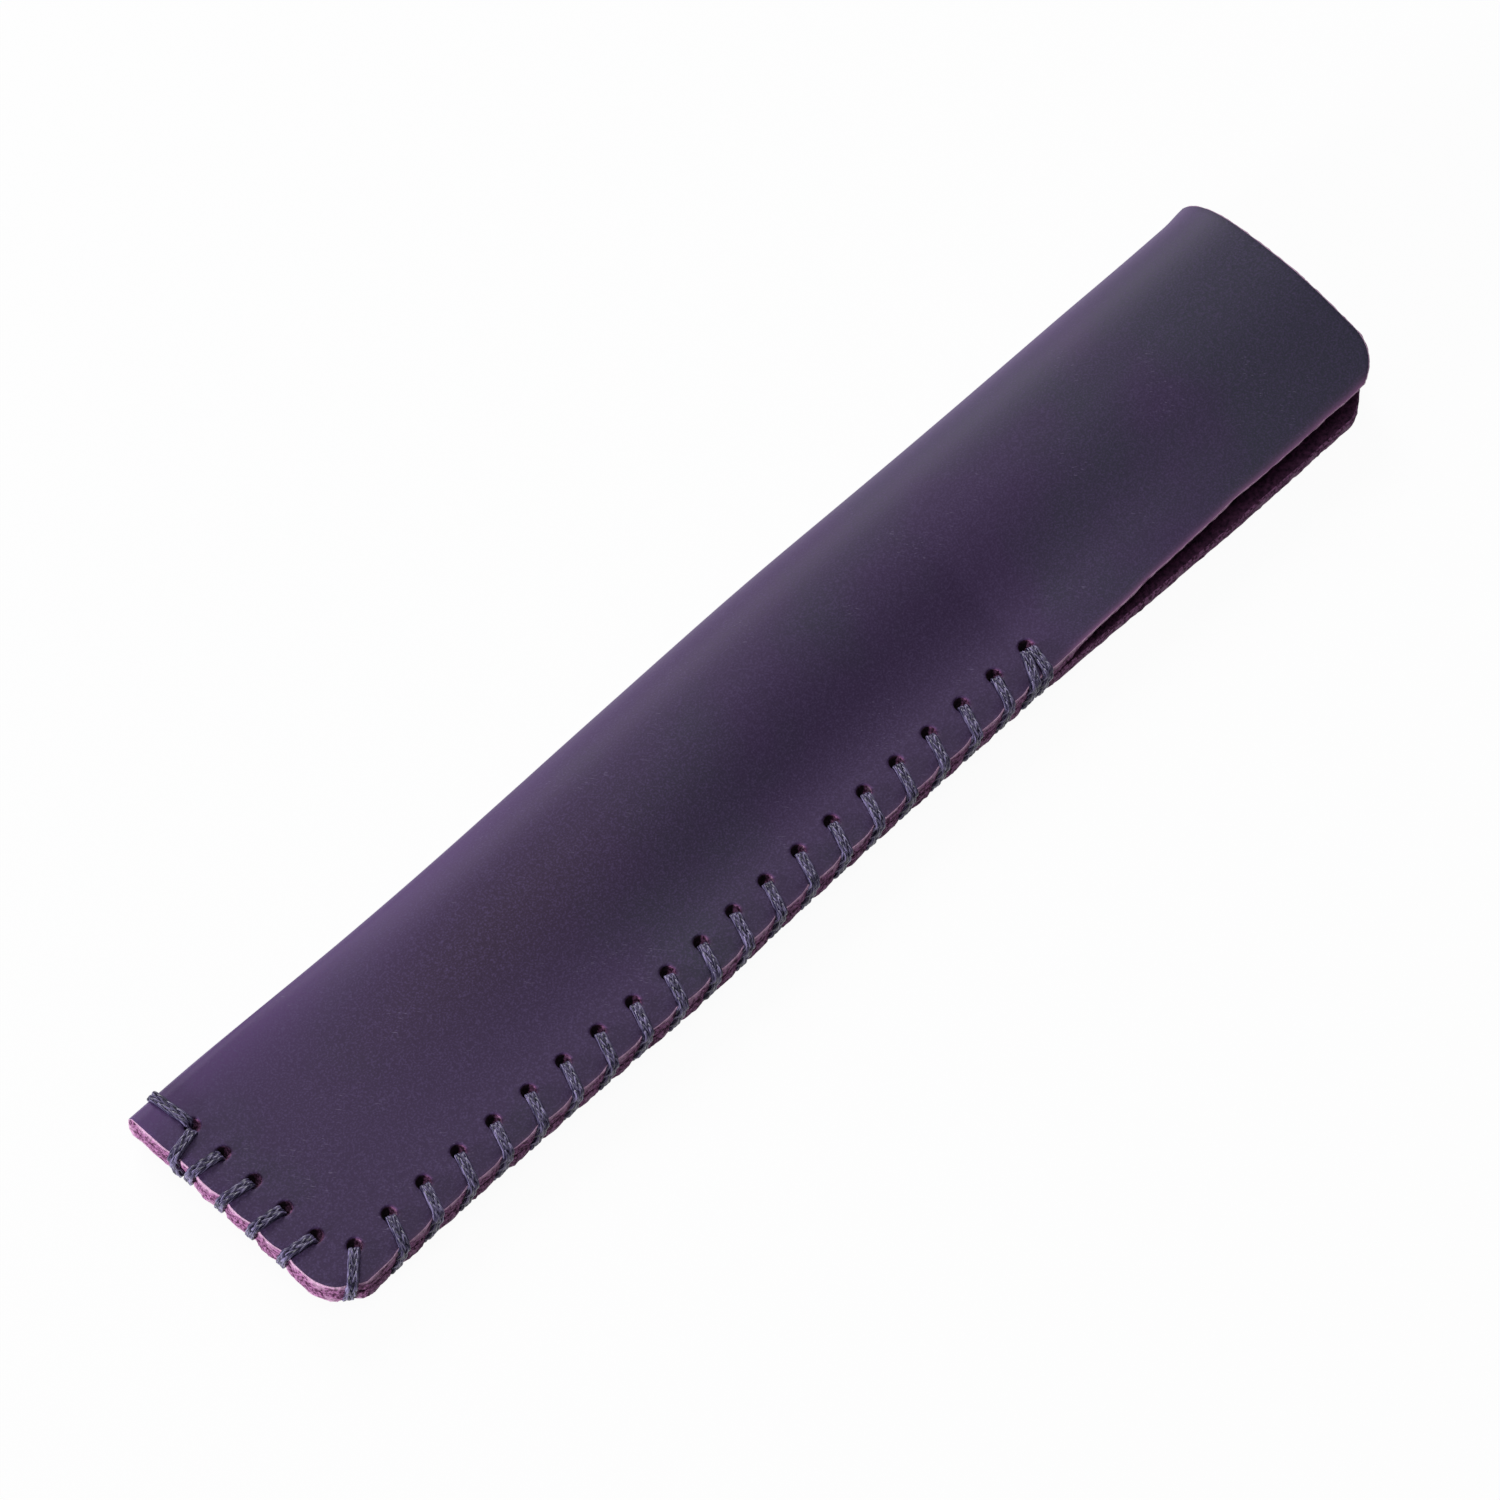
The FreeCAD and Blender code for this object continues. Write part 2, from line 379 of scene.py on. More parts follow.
@dataclass(frozen=True)
class FleshLeather(Finish):
    """Flesh side of the same hide, split and left bare: a napped dark magenta suede, soft and without shine."""

    name: str = "leather_flesh_side"
    base: str = "#362235"
    relief: float = 0.8
    relief_mm: float = 0.2
    nap: str = "#643c5b"
    nap_mm: float = 0.5
    tuft: Ramp = (0.35, 0.68, 0.0, 1.0)
    roughness: float = 0.95
    specular: float = 0.1
    sheen: float = 0.15
    sheen_tint: str = "#7a4a70"

    def paint(self, add: Adder) -> Paint:
        """Clumped nap in colour and relief.

        Args:
            add: Adds a node to the material.

        Returns:
            What Finish.paint says.
        """
        place = add("TexCoord", output="Object")
        clump = add("TexNoise", {"Vector": place, "Scale": 1 / (self.nap_mm * MM), "Detail": 5.0})
        inputs = {
            "Roughness": self.roughness,
            "Specular IOR Level": self.specular,
            "Sheen Weight": self.sheen,
            "Sheen Tint": linear(self.sheen_tint),
        }
        return [(add("MapRange", (clump, *self.tuft)), self.nap)], clump, inputs


@dataclass(frozen=True)
class WaxedBraid(Finish):
    """Flat braided polyester thread, waxed: charcoal strands with pale streaks where the wax catches the light.

    Real filaments are about two hundredths of a millimetre, too fine to show, so the streaks are drawn coarser.
    """

    name: str = "waxed_braided_thread"
    base: str = "#1f1c33"
    relief: float = 0.5
    relief_mm: float = 0.05
    pale: str = "#8379a0"
    fibre_mm: float = 0.12
    streak: Ramp = (0.42, 0.66, 0.0, 1.0)
    roughness: float = 0.36

    def paint(self, add: Adder) -> Paint:
        """Streaks that run along each strand, from places that the braid stores in millimetres.

        Args:
            add: Adds a node to the material.

        Returns:
            What Finish.paint says.
        """
        lay = add("Attribute", output="Vector", attribute_name="fibre")
        streak = add("TexNoise", {"Vector": lay, "Scale": 1 / self.fibre_mm, "Detail": 3.0})
        tone = add("MapRange", (streak, *self.streak))
        return [(tone, self.pale)], streak, {"Roughness": self.roughness}


def make_piece(name: str, points: Reals, quads: Indices, origin: Reals) -> Piece:
    """Make a linked object of smooth quads at the frame's origin.

    Args:
        name: Name of the piece.
        points: Vertex places in millimetres.
        quads: Four vertex numbers per face, outward.
        origin: The frame's origin in those millimetres.

    Returns:
        The object.
    """
    mesh = bpy.data.meshes.new(name)
    mesh.vertices.add(len(points))
    mesh.vertices.foreach_set("co", ((points - origin) * MM).astype(np.float32).ravel())
    mesh.loops.add(quads.size)
    mesh.loops.foreach_set("vertex_index", quads.astype(np.int32).ravel())
    mesh.polygons.add(len(quads))
    mesh.polygons.foreach_set("loop_start", np.arange(0, quads.size, 4, dtype=np.int32))
    mesh.polygons.foreach_set("use_smooth", np.ones(len(quads), dtype=bool))
    mesh.update(calc_edges=True)
    piece = bpy.data.objects.new(name, mesh)
    bpy.context.scene.collection.objects.link(piece)
    return piece


def add_values(piece: Piece, name: str, values: Reals) -> None:
    """Store a number or a row of three per vertex for the finish to read.

    Args:
        piece: Object that takes them.
        name: Name by which the finish reads them.
        values: One entry per vertex.
    """
    kind, slot = ("FLOAT", "value") if values.ndim == 1 else ("FLOAT_VECTOR", "vector")
    attribute = piece.data.attributes.new(name, kind, "POINT")
    attribute.data.foreach_set(slot, values.astype(np.float32).ravel())


@dataclass
class StitchRows:
    """Two rows of punched holes round the closed end's corner, and the edge that the thread goes over."""

    width: float
    end_corner_radius: float = 5.3
    hole_diameter: float = 1.7
    double_hole_diameter: float = 1.8
    seam_inset: float = 4.05
    seam_row_start: float = 6.0
    stitch_pitch: float = 5.0
    seam_holes: int = 21
    end_inset: float = 4.0
    end_row_start: float = 7.75
    end_row_to_fold: float = 5.6
    end_holes: int = 5
    end_lean: float = 0.6
    front_lean: float = 1.6
    corner_lean: float = -1.2
    start_lean: float = 1.4
    finish_lean: float = 2.75
    last_lean: float = 0.7
    start_turn: float = -0.65
    end_turn: float = 0.8
    corner_turn: float = 0.55
    side_turn: float = 1.6
    centres: Reals = field(init=False)
    radii: Reals = field(init=False)
    landings: Reals = field(init=False)
    turns: Reals = field(init=False)

    def __post_init__(self) -> None:
        """Set out the holes, from the fold along the end and on along the side, and the stitches.

        A hole has a centre (x, y) and a radius. A stitch comes over the edge at its landing, a distance along the
        edge from the fold: the place opposite its hole, less a lean. The corner's hole lies opposite the middle of
        the arc, and the last hole takes a second stitch. On its way to the back a stitch goes back along the edge by
        its turn.
        """
        ends, count = self.end_holes, self.end_holes + self.seam_holes
        end_y = np.linspace(self.width - self.end_row_to_fold, self.end_row_start, ends)
        side_x = self.seam_row_start + self.stitch_pitch * np.arange(self.seam_holes)
        end = np.stack([np.full(ends, self.end_inset), end_y], axis=-1)
        side = np.stack([side_x, np.full(self.seam_holes, self.seam_inset)], axis=-1)
        self.centres = np.concatenate([end, side])
        self.radii = np.full(count, self.hole_diameter / 2)
        self.radii[[0, -1]] = self.double_hole_diameter / 2
        along = np.append(self.width - end_y, self.end_run + self.corner_run + side_x - self.end_corner_radius)
        along[ends] = self.end_run + self.corner_run / 2
        lean = np.full(count, self.front_lean)
        lean[:ends] = self.end_lean
        lean[[0, ends, -1]] = (-self.start_lean, self.corner_lean, self.finish_lean)
        self.landings = np.append(along - lean, along[-1] - self.last_lean)
        self.turns = np.full(count + 1, self.side_turn)
        self.turns[:ends] = self.end_turn
        self.turns[[0, ends]] = (self.start_turn, self.corner_turn)

    @property
    def end_run(self) -> float:
        """Length of the straight closed end."""
        return self.width - self.end_corner_radius

    @property
    def corner_run(self) -> float:
        """Length of the edge round the closed end's corner."""
        return math.pi / 2 * self.end_corner_radius

    def edge_place(self, along: Reals, height: float, reach: Reals | float) -> Reals:
        """Points outside the stitched edge: a straight end, a quarter circle and a straight side.

        The outward direction is -X, then turns with the arc, then is -Y.

        Args:
            along: Distance along the edge from the fold.
            height: Height above the table.
            reach: Distance outside the edge.

        Returns:
            One point per distance.
        """
        radius = self.end_corner_radius
        angle = np.clip((along - self.end_run) / radius, 0.0, math.pi / 2)
        x = radius + np.maximum(along - self.end_run - self.corner_run, 0.0) - (radius + reach) * np.cos(angle)
        y = radius + np.maximum(self.end_run - along, 0.0) - (radius + reach) * np.sin(angle)
        return np.stack([x, y, np.full_like(x, height)], axis=-1)


@dataclass
class SheetForm:
    """Middle surface of the folded sheet: flat where it is stitched, swollen between, standing open at the lip.

    The bows are bells along the sleeve, each by height, middle and reach.
    """

    length: float
    width: float = 32.0
    leather: float = 1.5
    layer_gap: float = 0.2
    seam_lift: float = 0.9
    seam_end: float = 106.0
    table_press: float = 0.05
    margin: float = 5.6
    end_margin: float = 6.6
    end_ramp: float = 25.0
    seam_step: float = 5.0
    swell_reach: float = 80.0
    fold_swell: float = 0.55
    fold_draw: float = 1.1
    fold_lean: float = 60.0
    lip_rise: float = 2.1
    lip_draw: float = 0.6
    lip_tilt: float = 14.0
    crown_swell: float = 4.0
    lip_swell: float = 0.4
    crown_share: float = 0.66
    lip_crown_share: float = 0.56
    rise_handle_share: float = 0.4
    crown_handle_share: float = 0.5
    fold_handle_share: float = 0.38
    step_handle_share: float = 0.5
    press_power: float = 5.0
    edge_bows: tuple[Triple, ...] = ((0.3, 17.0, 12.0), (-0.42, 52.0, 10.0), (0.14, 92.0, 13.0))
    fold_bows: tuple[Triple, ...] = ((-0.28, 40.0, 16.0), (0.22, 91.0, 16.0))
    fold_set: float = -0.42
    fold_spread: float = 0.36
    fold_spread_run: Pair = (45.0, 95.0)
    stretch_points: int = 60
    stations: int = 321
    samples: int = 1201
    mid: Planar = field(init=False)
    way: Planar = field(init=False)
    span: Reals = field(init=False)

    def __post_init__(self) -> None:
        """Tabulate the sections by x and by share of the way across the sheet."""
        curves = self.sections(np.linspace(0.0, self.length, self.stations))
        arc = np.concatenate([np.zeros((self.stations, 1)), np.cumsum(np.abs(np.diff(curves)), axis=1)], axis=1)
        self.span = arc[:, -1]
        apart = 2 * self.span.max() * np.arange(self.stations)[:, None]
        wanted = apart + self.span[:, None] * np.linspace(0.0, 1.0, self.samples)
        known = (arc + apart).ravel()
        real = np.interp(wanted.ravel(), known, curves.real.ravel())
        imag = np.interp(wanted.ravel(), known, curves.imag.ravel())
        self.mid = (real + 1j * imag).reshape(wanted.shape)
        slope = np.gradient(self.mid, axis=1)
        self.way = slope / np.abs(slope)

    @property
    def seam_height(self) -> float:
        """Thickness of the two stitched layers."""
        return 2 * self.leather + self.layer_gap

    @property
    def seam_top(self) -> float:
        """Height of the stitched front above the table."""
        return self.seam_lift + self.seam_height

    def pressed(self, x: Reals) -> Reals:
        """Share by which the sheet is pressed flat, which fades from the closed end."""
        return 1 - ease(x, self.end_margin, self.end_margin + self.end_ramp)

    def past_seam(self, x: Reals, start: float, stop: float) -> Reals:
        """Smooth step between two distances past the seam's end."""
        return ease(x, self.seam_end + start, self.seam_end + stop)

    def near_mouth(self, x: Reals, start: float, stop: float = 0.0) -> Reals:
        """Smooth step between two distances before the mouth."""
        return ease(x, self.length - start, self.length - stop)

    def sections(self, x: Reals) -> Planar:
        """Middle line of the sheet in the plane of each section, from the front edge to the back edge.

        A point is y + iz. The line is a straight lip, a cubic up to the crown, a cubic down to the fold, an arc round
        the fold, a straight back panel, a cubic step up to the stitched margin and a straight margin.

        Args:
            x: Places of the sections.

        Returns:
            One row of points per section.
        """
        x = x[:, None]
        pressed = self.pressed(x)
        swell = ease(x, self.end_margin, self.swell_reach)
        opened = ease_out(x, self.seam_end, self.length)
        half = self.leather / 2

        floor = self.seam_lift * pressed - self.table_press * (1 - pressed) + half
        back_edge = self.seam_lift * (1 - opened) + half
        front_edge = self.seam_lift * (1 - opened) + self.seam_height - half + self.lip_rise * opened
        tilt = np.radians(self.lip_tilt) * opened

        radius = (self.leather + self.layer_gap + self.seam_lift * (1 - pressed)) / 2 + self.fold_swell * swell
        lean = np.radians(self.fold_lean) * swell
        fold_y = self.width - self.fold_draw * ease(x, self.end_margin, self.length) - radius - half
        fold_centre = fold_y + 1j * (floor + radius)
        fold_start = fold_centre + radius * np.exp(1j * (math.pi / 2 - lean))

        lip = self.lip_draw * opened + 1j * front_edge
        front_start = lip + self.margin * np.exp(1j * tilt)
        crown_y = self.width * (self.crown_share + (self.lip_crown_share - self.crown_share) * opened)
        crown = crown_y + 1j * (self.seam_top - half + self.crown_swell * swell + self.lip_swell * opened)
        rise = (crown.real - front_start.real) * self.rise_handle_share
        fall = fold_start.real - crown.real
        fall_end = fold_start - fall * self.fold_handle_share * np.exp(-1j * lean)
        step_top = self.margin + 1j * back_edge
        step_foot = self.margin + self.seam_step + 1j * floor
        step = self.seam_step * self.step_handle_share

        t = np.linspace(0.0, 1.0, self.stretch_points)[None, :]
        bend = np.exp(1j * (math.pi / 2 - lean - (math.pi - lean) * t))

        def straight(start: Planar, stop: Planar) -> Planar:
            """Even points from start to stop."""
            return start + (stop - start) * t

        def cubic(a: Planar, b: Planar, c: Planar, d: Planar) -> Planar:
            """Points of the cubic curve with these four control points."""
            s = 1 - t
            return a * s**3 + 3 * b * s * s * t + 3 * c * s * t * t + d * t**3

        stretches = [
            straight(lip, front_start),
            cubic(front_start, front_start + rise * np.exp(1j * tilt), crown - rise, crown),
            cubic(crown, crown + fall * self.crown_handle_share, fall_end, fold_start),
            fold_centre + radius * bend,
            straight(fold_y + 1j * floor, step_foot),
            cubic(step_foot, step_foot - step, step_top + step, step_top),
            straight(step_top, 1j * back_edge),
        ]
        return np.concatenate([stretches[0][:, :1]] + [s[:, 1:] for s in stretches], axis=1)

    def bowed(self, points: Reals) -> Reals:
        """Move points sideways by the slow bends of a hand-cut edge and a hand-pressed fold.

        Each side has a sum of bells along x, and a point takes the two sums by its share of the width.

        Args:
            points: Places in millimetres, one row each.

        Returns:
            The moved places.
        """
        x, y, z = points.T
        at_edge, at_fold = (
            sum(height * bell(x, middle, reach) for height, middle, reach in bows)
            for bows in (self.edge_bows, self.fold_bows)
        )
        at_fold = at_fold + self.fold_set + self.fold_spread * ease(x, *self.fold_spread_run)
        share = ease(y, 0.0, self.width)
        return np.stack([x, y + at_edge * (1 - share) + at_fold * share, z], axis=-1)

    def span_at(self, x: Reals) -> Reals:
        """Developed width of the sheet at x."""
        return np.interp(x, np.linspace(0.0, self.length, self.stations), self.span)

    def place(self, x: Reals, s: Reals, lift: Reals, square: float = 0.0) -> Reals:
        """Bend points of the flat sheet into the folded form.

        The tabulated sections are read between their neighbours. Lift goes along the outward normal, which is the
        section's direction turned by a quarter. Where the closed end is pressed, a normal (a, b) takes a further
        share (|a|^n + |b|^n)^(-1/n) - 1, which squares the fold.

        Args:
            x: Distance from the closed end.
            s: Distance across the sheet from the front edge.
            lift: Height over the middle surface, outward.
            square: Radius of the fold that is squared.

        Returns:
            One point per place.
        """
        row = np.clip(x / self.length, 0.0, 1.0) * (self.stations - 1)
        i = np.minimum(row.astype(int), self.stations - 2)
        u = row - i
        col = s / self.span_at(x) * (self.samples - 1)
        j = np.clip(col.astype(int), 0, self.samples - 2)
        v = col - j

        def between(table: Planar) -> Planar:
            """Table value between the four nearest entries."""
            near = table[i, j] * (1 - v) + table[i, j + 1] * v
            return near * (1 - u) + (table[i + 1, j] * (1 - v) + table[i + 1, j + 1] * v) * u

        way = between(self.way)
        out = 1j * way / np.abs(way)
        n = self.press_power
        corner = (np.abs(out.real) ** n + np.abs(out.imag) ** n) ** (-1 / n) - 1
        section = between(self.mid) + out * (lift + square * corner * self.pressed(x))
        return np.stack([x, section.real, section.imag], axis=-1)


@dataclass
class FlatGrid:
    """The flat sheet as a grid: lines along the sleeve, rows from the front edge over the fold to the back edge."""

    along: Reals
    across: Reals
    x: Reals
    s: Reals
    edge: Reals
    inset: Reals
    pulled: Reals
    back: Flags
    numbers: Indices


@dataclass
class PunchedHoles:
    """Rings of points from the square block of cells round each hole to its rim, on the front and on the back."""

    kept: Flags
    block: Indices
    top: Reals
    low: Reals
    lift: Reals
    bare: Reals
    torn_and_lit: Reals


@dataclass
class FoldedLeather:
    """The sheet with its rounded corners, punched holes, rough cut edges and napped inside.

    A run is where a change starts and where it is complete: past the seam's end, before the mouth, or, on the fold's
    pale band, which is partly pull-up paling and partly a painted highlight, from the closed end. Waves are sines
    along the lip, each by height, length over two pi, and phase. The rings go from a hole's block to its rim, each by
    its share of the way, how bare it is, its lift and its press.
    """

    form: SheetForm
    rows: StitchRows
    origin: Reals
    front_lip_radius: float = 5.3
    back_lip_radius: float = 8.0
    end_fade: float = 8.0
    lip_fade: float = 16.0
    block: float = 1.5
    block_cells: int = 6
    gap_cells: int = 3
    start_cells: int = 5
    corner_cells: int = 8
    lip_cells: int = 69
    fold_cells: int = 18
    cell: float = 0.7
    edge_bulge: float = 0.16
    edge_rows: int = 9
    edge_noise: float = 0.045
    wall_rows: int = 5
    wall_noise: float = 0.05
    pull: float = 0.42
    pull_reach: float = 0.95
    dent: float = 0.24
    front_turn_share: float = 0.22
    back_turn_share: float = 0.78
    lip_wave: float = 0.05
    lip_reach: float = 2.0
    lip_run: Pair = (2.0, 14.0)
    front_waves: tuple[Triple, ...] = ((1.0, 2.1, 0.0), (0.6, 1.13, 1.0))
    back_waves: tuple[Triple, ...] = ((0.6, 1.7, 2.0), (0.5, 0.83, 0.0))
    back_steps: Pair = (0.1584, 0.3216)
    back_step_run: Pair = (8.0, 32.0)
    front_step: float = 0.34
    front_step_run: Pair = (28.0, 12.0)
    front_corner_share: float = 0.8
    front_corner_run: float = 8.0
    back_short: float = 0.3
    back_short_reach: float = 8.0
    back_short_run: float = 14.0
    fold_reach: float = 5.0
    fold_draw: float = 0.1
    fold_draw_run: Pair = (22.0, 8.0)
    flare: float = 0.25
    flare_run: float = 3.5
    skive: float = 0.6
    skive_reach: float = 1.2
    skive_run: Pair = (0.0, 8.0)
    funnel_share: float = 0.2
    punch_lean: Pair = (0.75, -0.66)
    punch_slant: float = 0.3
    clean_punch: float = 0.45
    # The side that the punch leans to is paler: partly torn fibre, partly painted light on the wall facing the lamps.
    torn_and_lit_full: float = 0.7
    rings: tuple[Ramp, ...] = (
        (0.45, 0.0, 0.0, 0.02),
        (0.75, 0.05, 0.02, 0.1),
        (0.92, 0.2, -0.01, 0.16),
        (1.0, 0.45, -0.15, 0.2),
    )
    whole_bare: float = 0.1
    # Pale rim along the cut edges: a little worn bare everywhere, much more past the seam, where it is a painted
    # highlight on the lip.
    edge_rim_bare_and_lit: Pair = (0.15, 0.8)
    lip_rim_highlight_run: Pair = (-2.0, 6.0)
    rim_reach: Pair = (0.22, 0.06)
    rim_reach_run: Pair = (35.0, 12.0)
    rim_depth: float = 1.4
    torn_and_lit_depth: float = 1.0
    wall_depth: float = 0.7
    foot_depth: float = 2.0
    # Strength of the fold's pale band everywhere, at the closed end and at the mouth: partly pull-up paling, partly a
    # painted highlight.
    scuff_and_fold_light: Triple = (0.28, 0.4, 0.25)
    fold_light_end_run: Pair = (25.0, 70.0)
    fold_light_mouth_run: Pair = (95.0, 130.0)
    fold_light_flat: float = 2.0
    fold_light_reach: float = 3.0
    # A darker patch on the panel, by middle and reach along the sleeve and by distance from the fold.
    dark_patch_along: Pair = (42.0, 20.0)
    dark_patch_across: Pair = (12.0, 7.0)
    seed: int = 7
    piece: Piece = field(init=False)

    def lines_along(self) -> Reals:
        """Grid lines along the sleeve, with a block of even cells round each hole.

        Returns:
            The lines' distances from the closed end.
        """
        rows, full = self.rows, 2 * self.block
        first = rows.end_inset - self.block
        corner, *stops = rows.centres[rows.end_holes :, 0] + self.block
        stretches = [(first, self.start_cells), (corner, round((corner - first) * self.block_cells / full))]
        for stop in stops:
            stretches += [(stop - full, self.gap_cells), (stop, self.block_cells)]
        return spaced(self.edge_bulge, [*stretches, (self.form.length - self.edge_bulge, self.lip_cells)])

    def lines_across(self) -> Reals:
        """Grid lines by distance from a free edge, close together where the corners are round.

        Returns:
            The lines' distances from the edge.
        """
        rows, radius = self.rows, self.rows.end_corner_radius
        first = rows.seam_inset - self.block
        turn = np.linspace(0.0, math.acos(1 - first / radius), self.corner_cells + 1)[:-1]
        corner = np.maximum(radius * (1 - np.cos(turn)), self.edge_bulge * (1 + turn))
        reached = first + 2 * self.block
        stretches = [(reached, self.block_cells)]
        for middle in rows.centres[: rows.end_holes, 1][::-1]:
            start = middle - self.block
            stretches.append((start, max(1, round((start - reached) / self.cell))))
            reached = middle + self.block
            stretches.append((reached, self.block_cells))
        return np.append(corner, spaced(first, stretches))

    def rounded(self, x: Reals, edge: Reals, lip_radius: Reals) -> Reals:
        """Move points along the sleeve so that the outline gets its round corners.

        At distance d from the free edge an arc of radius r stands in by r - sqrt(r^2 - (r - d)^2). That shift fades
        evenly and ends before the first hole's block.

        Args:
            x: Distance from the closed end.
            edge: Distance from the free edge.
            lip_radius: Corner radius at the mouth.

        Returns:
            The moved x.
        """
        first = self.rows.seam_inset - self.block
        hold = self.rows.seam_row_start - self.block

        def inset(radius: Reals | float) -> Reals:
            """Shift of the outline at each row."""
            short = np.maximum(radius - edge, 0.0)
            return radius - np.sqrt(np.maximum(radius * radius - short * short, 0.0))

        reach = hold + self.end_fade * np.clip(1 - edge / first, 0.0, 1.0)
        from_mouth = self.form.length - x
        at_end = inset(self.rows.end_corner_radius) * np.clip(1 - x / reach, 0.0, 1.0)
        at_mouth = inset(lip_radius) * np.clip(1 - from_mouth / self.lip_fade, 0.0, 1.0)
        return x + at_end - at_mouth

    def turn_places(self, turn_share: float) -> tuple[Reals, Reals]:
        """Where the thread goes over the edge at one layer.

        Args:
            turn_share: Share of the thread's way from the front to the back.

        Returns:
            The places (x, y), one per stitch, and the directions inward.
        """
        along = self.rows.landings - turn_share * self.rows.turns
        at = self.rows.edge_place(along, 0.0, 0.0)[:, :2]
        return at, at - self.rows.edge_place(along, 0.0, 1.0)[:, :2]

    def drawn(self, x: Reals, edge: Reals, turn_share: float) -> tuple[Reals, Reals, Reals]:
        """Pull of the stitches: a round bell about each place where the thread goes over the edge.

        Args:
            x: Distance from the closed end.
            edge: Distance from the free edge.
            turn_share: Share of the thread's way from the front to the back.

        Returns:
            The shifts of x and edge, and the sum of the bells.
        """
        at, inward = self.turn_places(turn_share)
        away = (x[..., None] - at[:, 0]) ** 2 + (edge[..., None] - at[:, 1]) ** 2
        bells = np.exp(-away / self.pull_reach**2)
        return self.pull * (bells @ inward[:, 0]), self.pull * (bells @ inward[:, 1]), bells.sum(axis=-1)

    def worn(self, x: Reals, edge: Reals, back: Flags) -> tuple[Reals, Reals]:
        """Hand-cut irregularity of the open edges.

        Sines run along the lip. The back is a step wider past the seam and short at its corner. The front is a step
        wider near the mouth, but hardly at its corner.

        Args:
            x: Distance from the closed end.
            edge: Distance from the free edge.
            back: True on the back layer.

        Returns:
            The moved x and edge.
        """
        form = self.form
        free = form.past_seam(x, *self.lip_run) * np.exp(-edge / self.lip_reach)
        front_wave, back_wave = (
            sum(height * np.sin(x / reach + phase) for height, reach, phase in waves)
            for waves in (self.front_waves, self.back_waves)
        )
        least, more = self.back_steps
        back_step = least + more * form.past_seam(x, *self.back_step_run)
        at_corner = self.front_corner_share * form.near_mouth(x, self.front_corner_run)
        front_step = self.front_step * (form.near_mouth(x, *self.front_step_run) - at_corner)
        at_end = bell(edge, 0.0, self.back_short_reach) * form.near_mouth(x, self.back_short_run)
        wave = self.lip_wave * np.where(back, back_wave, front_wave) - np.where(back, back_step, front_step)
        return x - np.where(back, self.back_short * at_end, 0.0), edge + free * wave

    def bulge(self, x: Reals, s: Reals) -> Reals:
        """Shift of the fold: drawn in towards the mouth, and flared at its very end.

        Args:
            x: Distance from the closed end.
            s: Distance across the sheet from the front edge.

        Returns:
            The shift outward.
        """
        at_fold = bell(s - self.form.span_at(x) / 2, 0.0, self.fold_reach)
        draw = self.fold_draw * self.form.near_mouth(x, *self.fold_draw_run)
        return at_fold * (self.flare * self.form.near_mouth(x, self.flare_run) - draw)

    def lay_out(self) -> FlatGrid:
        """Lay the sheet out flat, with its corners, its worn edges and the pull of the stitches.

        The rows near a free edge go by their distance from it, and those at the fold are spread evenly between.

        Returns:
            The grid's flat places.
        """
        along, across = self.lines_along(), self.lines_across()
        fold = np.linspace(0.0, 1.0, self.fold_cells + 1)[1:-1]
        front, behind = len(across), len(across) + len(fold)
        edge = np.concatenate([across, np.full(len(fold), across[-1]), across[::-1]])
        row = np.arange(len(edge))
        back = (row >= len(edge) / 2)[None, :]
        x, edge = np.broadcast_arrays(along[:, None], edge[None, :])
        x = self.rounded(x, edge, np.where(back, self.back_lip_radius, self.front_lip_radius))
        inset = edge - self.edge_bulge
        x, edge = self.worn(x, edge, back)
        pulls = (self.drawn(x, edge, share) for share in (self.front_turn_share, self.back_turn_share))
        shift_x, shift_edge, pulled = (np.where(back, b, a) for a, b in zip(*pulls))
        x, edge = x + shift_x, edge + shift_edge
        s = np.where(row < front, edge, self.form.span_at(x) - edge)
        near, far = s[:, front - 1, None], s[:, behind, None]
        s[:, front:behind] = near + (far - near) * fold
        numbers = np.arange(x.size).reshape(x.shape)
        return FlatGrid(along, across, x, s, edge, inset, pulled, back, numbers)

    def punch(self, grid: FlatGrid) -> PunchedHoles:
        """Replace a block of cells round each hole by rings from the block's square to the hole's circle.

        Below the grain the rings narrow to a funnel and lean with the punch. The rim is pressed down where the thread
        leaves it. On the side that the punch leans to, whose wall faces the lamps, the rim is torn bare and the wall
        is kept
        pale: partly torn fibre, partly painted light.

        Args:
            grid: The flat sheet.

        Returns:
            The rings of all the holes, those of the front first.
        """
        centres, n = self.rows.centres, self.block_cells
        first_i = np.tile(np.searchsorted(grid.along, centres[:, 0] - self.block - 1e-6), 2)
        first_j = np.searchsorted(grid.across, centres[:, 1] - self.block - 1e-6)
        first_j = np.concatenate([first_j, grid.x.shape[1] - 1 - first_j - n])
        step = np.arange(n)
        kept = np.ones((grid.x.shape[0] - 1, grid.x.shape[1] - 1), dtype=bool)
        kept[first_i[:, None, None] + step[:, None], first_j[:, None, None] + step] = False
        round_i = np.concatenate([step, np.full(n, n), n - step, np.zeros(n, dtype=int)])
        block = grid.numbers[first_i[:, None] + round_i, first_j[:, None] + np.roll(round_i, n)]

